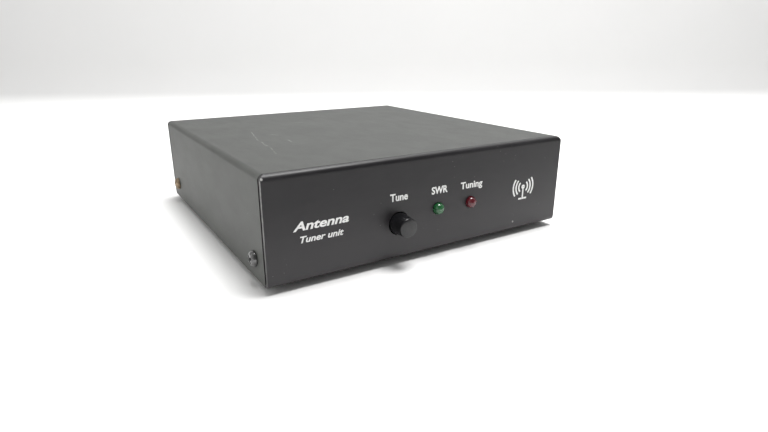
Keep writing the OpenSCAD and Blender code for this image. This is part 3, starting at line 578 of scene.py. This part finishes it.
def strokes(lines, width):
    """Flat bands along drawn lines."""
    mesh = bmesh.new()
    for line in lines:
        points = [Vector(p) for p in line]
        edges = []
        for i, point in enumerate(points):
            run = (points[min(i + 1, len(points) - 1)] - points[max(i - 1, 0)]).normalized()
            side = Vector((-run.y, run.x)) * width / 2
            edges.append([mesh.verts.new((*(point + side), z)) for z in (0, 0.02)]
                         + [mesh.verts.new((*(point - side), z)) for z in (0.02, 0)])
        for one, two in zip(edges, edges[1:]):
            for i in range(4):
                mesh.faces.new((one[i], one[(i + 1) % 4], two[(i + 1) % 4], two[i]))
        mesh.faces.new(edges[0])
        mesh.faces.new(edges[-1])
    bmesh.ops.recalc_face_normals(mesh, faces=mesh.faces)
    return mesh


def arc(centre, radius, start, end, count=14):
    angles = [radians(start + (end - start) * i / (count - 1)) for i in range(count)]
    return [(centre[0] + radius * cos(a), centre[1] + radius * sin(a)) for a in angles]


def emblem(left, right, base, top):
    """A plain sign for an aerial: a mast with waves to either side."""
    mid, height = (left + right) / 2 - left, top - base
    heart = (mid, height * 0.62)
    mast = [[(mid, 0), (mid, height * 0.5)], arc(heart, 0.55, 0, 360, 20),
            [(mid - 2.2, 0.35), (mid - 0.5, 0.35)], [(mid + 0.5, 0.35), (mid + 2.2, 0.35)]]
    waves = [arc(heart, radius, centre - spread, centre + spread)
             for radius, spread in ((2.4, 48), (3.9, 45), (5.4, 38)) for centre in (0, 180)]
    mesh = solid("emblem", (strokes(mast + waves, 0.72), on_panel(left, base)))
    add_piece("emblem", mesh, None, "case", paint=LETTER_INK, smooth=False)


def printed_marks():
    lettering("label_tune", "Tune", -19.2, -12.0, 21.2, 23.8, 0.026)
    lettering("label_swr", "SWR", -1.8, 5.35, 21.2, 23.8, 0.03)
    lettering("label_tuning", "Tuning", 11.4, 21.85, 21.15, 23.65, 0.026)
    lettering("name_antenna", "Antenna", -54.4, -35.0, 17.3, 20.2, 0.026, 0.26)
    lettering("name_tuner", "Tuner unit", -52.2, -37.0, 13.2, 15.3, 0.026, 0.26)
    emblem(38.0, 49.6, 12.4, 20.6)


# ---- Case ----

def case_screws():
    """The three black screws and the stained one, with their cross recesses."""
    height = middle("worn_cover_screw").z
    rear, front = middle("worn_cover_screw").y, 2 * middle("cover").y - middle("worn_cover_screw").y
    low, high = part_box("worn_cover_screw")
    head_r = (high.z - low.z) / 2 / MM
    head_h = (CASE_LOW.x - low.x) / MM
    shank_l = (high.x - CASE_LOW.x) / MM

    def screw_at(side, y, spin):
        place = Vector((side.x * abs(CASE_LOW.x), y, height))
        return pan_screw(head_r, head_h, 1.5, shank_l), turn_to(side, place, radians(spin))

    black = solid("case_screws", screw_at(LEFT, front, 24), screw_at(RIGHT, front, 61),
                  screw_at(RIGHT, rear, 12))
    sharpen(add_piece("case_screws", black, "black_screw", "case", ["cover_screws"]))
    stained = solid("stained_screw", screw_at(LEFT, rear, 40))
    sharpen(add_piece("stained_screw", stained, "worn_screw", "case", ["worn_cover_screw"]))


def feet():
    low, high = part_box("feet")
    radius, height = 4.0, (high.z - low.z) / MM
    profile = rounded([(0, 0.12), (radius - 1.0, 0.12), (radius - 0.8, 0), (radius - 0.35, 0),
                       (radius, 0.7), (radius, height), (0, height)], 0.25)
    inset = radius * MM
    placed = [(lathe(profile), Matrix.Translation((x, y, low.z)) @ Matrix.Scale(MM, 4))
              for x in (low.x + inset, high.x - inset) for y in (low.y + inset, high.y - inset)]
    sharpen(add_piece("rubber_feet", solid("rubber_feet", *placed), "foot_rubber", "case", ["feet"]))


# ---- Rear panel ----

FLANGE_PITCH, FLANGE_THICK = 18.26, 1.6
SOCKET_THREAD_PITCH, POST_THREAD_PITCH = 1.06, 0.7


def socket_places():
    low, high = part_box("coax_shells")
    half = (high.z - low.z) / 2
    return [Vector((x, REAR_Y, middle("coax_shells").z)) for x in (low.x + half, high.x - half)]


def coax_sockets():
    low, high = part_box("coax_shells")
    flange, thread_r, flange_t = (high.z - low.z) / MM, 7.94, FLANGE_THICK
    out, back, bore = (high.y - REAR_Y) / MM, (low.y - REAR_Y) / MM, 6.15
    cut = thread(flange_t + 0.8, out - 0.2, SOCKET_THREAD_PITCH, 0.5)
    corner = 2.0

    def square_flange(radius, along, angle):
        if radius < flange / 2 * 0.9:
            return cut(radius, along, angle)
        c, s = abs(cos(angle)), abs(sin(angle))
        square_r = radius / max(c, s)
        inner = radius - corner
        x, y = square_r * c, square_r * s
        if x > inner and y > inner:
            b = inner * (c + s)
            square_r = b + max(b * b - 2 * inner * inner + corner * corner, 0) ** 0.5
        return square_r, along

    half = flange / 2
    profile = [(bore, back), (7.3, back), (7.5, back + 0.3), (7.5, 0), (half - 0.25, 0), (half, 0.25),
               (half, flange_t - 0.3), (half - 0.3, flange_t), (thread_r + 0.4, flange_t),
               (thread_r, flange_t + 0.4),
               *threaded_line(thread_r, flange_t + 0.8, out - 0.7, SOCKET_THREAD_PITCH),
               (thread_r - 0.5, out), (bore + 0.4, out), (bore, out - 0.5)]
    shells = solid("socket_shells", *[(lathe(profile, True, 96, square_flange), turn_to(REAR, place))
                                      for place in socket_places()])
    sharpen(add_piece("socket_shells", shells, "nickel_plate", "case", ["coax_shells"]), 35)

    face = 7.6
    insulator = rounded([(2.7, back), (bore, back), (bore, face), (4.9, face), (4.7, face - 0.5),
                         (4.1, face - 0.5), (4.0, face), (3.9, 12.6), (2.7, 12.6)], 0.2, True)
    rings = solid("socket_insulators", *[(lathe(insulator, True), turn_to(REAR, place))
                                         for place in socket_places()])
    sharpen(add_piece("socket_insulators", rings, "insulator_plastic", "case", ["coax_insulators"]), 35)


def flange_screws():
    spread = FLANGE_PITCH / 2 * MM
    placed = []
    for i, centre in enumerate(socket_places()):
        for k, (dx, dz) in enumerate(((-1, -1), (1, -1), (1, 1), (-1, 1))):
            place = centre + Vector((dx * spread, FLANGE_THICK * MM, dz * spread))
            placed.append((pan_screw(2.7, 1.9, 1.5, 7), turn_to(REAR, place, 0.7 * k + 1.9 * i)))
    sharpen(add_piece("flange_pan_screws", solid("flange_pan_screws", *placed), "zinc_steel", "case",
                      ["flange_screws"]))


def ground_post():
    low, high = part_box("ground_stud")
    place = Vector((middle("ground_stud").x, REAR_Y, middle("ground_stud").z))
    start, end, radius = (low.y - REAR_Y) / MM, (high.y - REAR_Y) / MM, 2.0
    head = start + 2.6
    profile = [(0, start), *rounded([(0, start), (3.6, start), (4, start + 1.1), (4, head)], 0.4)[1:],
               (radius, head), *threaded_line(radius, head + 0.3, end - 0.5, POST_THREAD_PITCH),
               (radius - 0.4, end), (0, end)]
    cut = thread(head + 0.2, end - 0.3, POST_THREAD_PITCH, 0.3)
    stud = solid("ground_post", (lathe(profile, segments=48, shape=cut), turn_to(REAR, place)))
    sharpen(add_piece("ground_post", stud, "nickel_plate", "case", ["ground_stud"]), 35)

    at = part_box("stud_nut")[0].y
    nut = solid("post_hex_nut", (hex_nut(4 * cos(pi / 6), 3.2, 2.05),
                                 turn_to(REAR, Vector((place.x, at, place.z)))))
    sharpen(add_piece("post_hex_nut", nut, "zinc_steel", "case", ["stud_nut"]), 25)

    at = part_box("flat_washer")[0].y
    ring = rounded([(2.05, 0), (4.48, 0), (4.48, 0.8), (2.05, 0.8)], 0.2, True)
    washer = solid("post_flat_washer", (lathe(ring, True),
                                        turn_to(REAR, Vector((place.x, at, place.z)))))
    sharpen(add_piece("post_flat_washer", washer, "zinc_steel", "flat_washer", ["flat_washer"]), 50)


def wing_nut():
    place = Vector((middle("ground_stud").x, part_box("wing_nut")[0].y, middle("ground_stud").z))
    hub = rounded([(2.05, 0.3), (2.35, 0), (4, 0), (3.9, 1.2), (3.2, 5.5), (2.35, 5.5), (2.05, 5.2)],
                  0.3, True)
    tip_r, tip = 3.2, (6.8, 5.8)
    outline = [(2.3, 0.7), *arc(tip, tip_r, -52, 155, 20), (4.4, 5.6), (2.3, 5.0)]
    thickness = 1.6
    lay = Matrix.Rotation(pi / 2, 4, "X") @ Matrix.Translation((0, 0, -thickness / 2))
    wings = []
    for side in (0, pi):
        turn = Matrix.Rotation(side + pi / 2, 4, "Z") @ lay
        wings.append((plate(outline, thickness, 0.45), turn_to(REAR, place) @ turn))
    mesh = solid("winged_nut", (lathe(hub, True), turn_to(REAR, place)), *wings)
    sharpen(add_piece("winged_nut", mesh, "nickel_plate", "wing_nut", ["wing_nut"]), 40)


def radio_socket():
    low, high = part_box("radio_jack_nut")
    place = Vector((middle("radio_jack_nut").x, low.y, middle("radio_jack_nut").z))
    nut = solid("radio_hex_nut", (hex_nut(4.2 * cos(pi / 6), (high.y - low.y) / MM, 3.05),
                                  turn_to(REAR, place)))
    sharpen(add_piece("radio_hex_nut", nut, "nickel_plate", "case", ["radio_jack_nut"]), 25)


def front_parts():
    """The pieces drawn afresh that the photograph shows."""
    tune_button()
    lamp("green_lamp", "green_lens")
    lamp("red_lamp", "red_lens")
    printed_marks()
    case_screws()
    feet()


def rear_parts():
    """The pieces drawn afresh that only show from behind."""
    coax_sockets()
    flange_screws()
    ground_post()
    wing_nut()
    radio_socket()


def dress_cad():
    """Gives every CAD node that still shows its material, and softens its sheared edges."""
    slots = {part["node"]: part["material_slot"] for part in frame["record"]["subparts"]}
    for node, obj in frame["nodes"].items():
        dress(obj, MATERIALS[slots[node]])
    for node in ("chassis", "cover"):
        edge = frame["nodes"][node].modifiers.new("soft_edges", "BEVEL")
        edge.width, edge.segments, edge.harden_normals = 0.12 * MM, 2, True
        edge.limit_method, edge.angle_limit = "ANGLE", radians(50)


# ---- Room, light and camera ----

ROOM_WHITE, ROOM_DIM = 1.16, 0.18

# Towards the side of the room that is dim: high up in front of the front panel
DIM_SIDE = (0.05, -0.75, 0.66)

# The camera looks at a point set off from the middle of the case, to its right and below
VIEW = {"azimuth": radians(32.122), "elevation": radians(18.340), "distance": 0.24581,
        "lens": 24.669, "right": 16.50 * MM, "down": 5.21 * MM}


def camera():
    turn, rise = VIEW["azimuth"], VIEW["elevation"]
    look = Vector((sin(turn) * cos(rise), cos(turn) * cos(rise), -sin(rise)))
    right = Vector((cos(turn), -sin(turn), 0))
    up = right.cross(look)
    target = Vector((0, MIDDLE_Y, CASE_BOTTOM)) + right * VIEW["right"] - up * VIEW["down"]
    data = bpy.data.cameras.new("camera")
    data.lens, data.sensor_width, data.clip_start = VIEW["lens"], 36, 0.01
    eye = bpy.data.objects.new("camera", data)
    eye.location = target - look * VIEW["distance"]
    eye.rotation_euler = (pi / 2 - rise, 0, -turn)
    bpy.context.scene.collection.objects.link(eye)
    bpy.context.scene.camera = eye
    return look, right


def cloth_paint():
    """White cloth, a little dimmer low on the wall and well in front of the case."""
    paint = Paint("cloth")
    near = paint.between(paint.axis("Y"), FRONT_Y - 0.30, FRONT_Y - 0.07, 1, 0)
    low = paint.math("MULTIPLY", paint.between(paint.axis("Z"), CASE_BOTTOM + 0.001, CASE_BOTTOM + 0.02),
                     paint.between(paint.axis("Z"), CASE_BOTTOM + 0.13, CASE_BOTTOM + 0.26, 1, 0))
    tone = paint.blend(paint.grain(60, 4), (0.86, 0.86, 0.855), (0.89, 0.885, 0.88))
    tone = paint.blend(paint.math("MULTIPLY", near, 0.35), tone, (0.2, 0.2, 0.2))
    tone = paint.blend(paint.math("MULTIPLY", low, 0.41), tone, (0.3, 0.3, 0.3))
    paint.set(Base_Color=tone, Roughness=paint.between(paint.grain(40, 4), 0.3, 0.7, 0.85, 0.95))
    paint.bump(paint.grain(0.8, 3), 0.01)
    return paint


def backdrop(look, right):
    """A white cloth floor and, well behind the case, the cloth rising behind it."""
    cloth = cloth_paint()
    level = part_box("feet")[0].z
    flat = Vector((look.x, look.y, 0)).normalized()
    half_width, skew = 2.2, 0.15
    # Each row is how far it lies beyond the middle of the case, seen from the camera, and its height
    rows = [(-2.2, 0), (0.350, 0), (0.366, 0.002), (0.376, 0.009), (0.381, 0.02), (0.384, 0.05),
            (0.40, 1.6)]
    verts = [flat * (d + skew * side * (d > 0)) + right * side * half_width + Vector((0, 0, level + h))
             for d, h in rows for side in (-1, 1)]
    faces = [(2 * i, 2 * i + 1, 2 * i + 3, 2 * i + 2) for i in range(len(rows) - 1)]
    mesh = bpy.data.meshes.new("floor")
    mesh.from_pydata(verts, [], faces)
    floor = bpy.data.objects.new("floor", mesh)
    bpy.context.scene.collection.objects.link(floor)
    for polygon in mesh.polygons:
        polygon.use_smooth = True
    dress(floor, cloth)


def area_light(name, place, size, power):
    """A square light that faces the case."""
    data = bpy.data.lights.new(name, "AREA")
    data.shape, data.size, data.energy = "SQUARE", size, power
    light = bpy.data.objects.new(name, data)
    light.location = place
    light.rotation_euler = (-Vector(place)).to_track_quat("-Z", "Y").to_euler()
    bpy.context.scene.collection.objects.link(light)


def lighting():
    """A white room that is dimmer high up in front, a light overhead and a lamp to the right."""
    world = bpy.data.worlds.new("room")
    world.use_nodes = True
    nodes, links = world.node_tree.nodes, world.node_tree.links
    facing = nodes.new("ShaderNodeVectorMath")
    facing.operation = "DOT_PRODUCT"
    facing.inputs[1].default_value = DIM_SIDE
    links.new(nodes.new("ShaderNodeTexCoord").outputs["Generated"], facing.inputs[0])
    fade = nodes.new("ShaderNodeMapRange")
    for socket, value in (("From Min", 0.0), ("From Max", 0.9),
                          ("To Min", ROOM_WHITE), ("To Max", ROOM_DIM)):
        fade.inputs[socket].default_value = value
    links.new(facing.outputs["Value"], fade.inputs["Value"])
    links.new(fade.outputs[0], nodes["Background"].inputs["Strength"])
    nodes["Background"].inputs["Color"].default_value = (1, 1, 0.99, 1)
    bpy.context.scene.world = world
    bpy.context.scene.view_settings.view_transform = "Standard"
    area_light("overhead", (0.14, -0.06, 0.9), 0.45, 12.0)
    area_light("side_lamp", (1.0, 0.0, 0.75), 0.3, 1.5)


dress_cad()
front_parts()
rear_parts()
backdrop(*camera())
lighting()
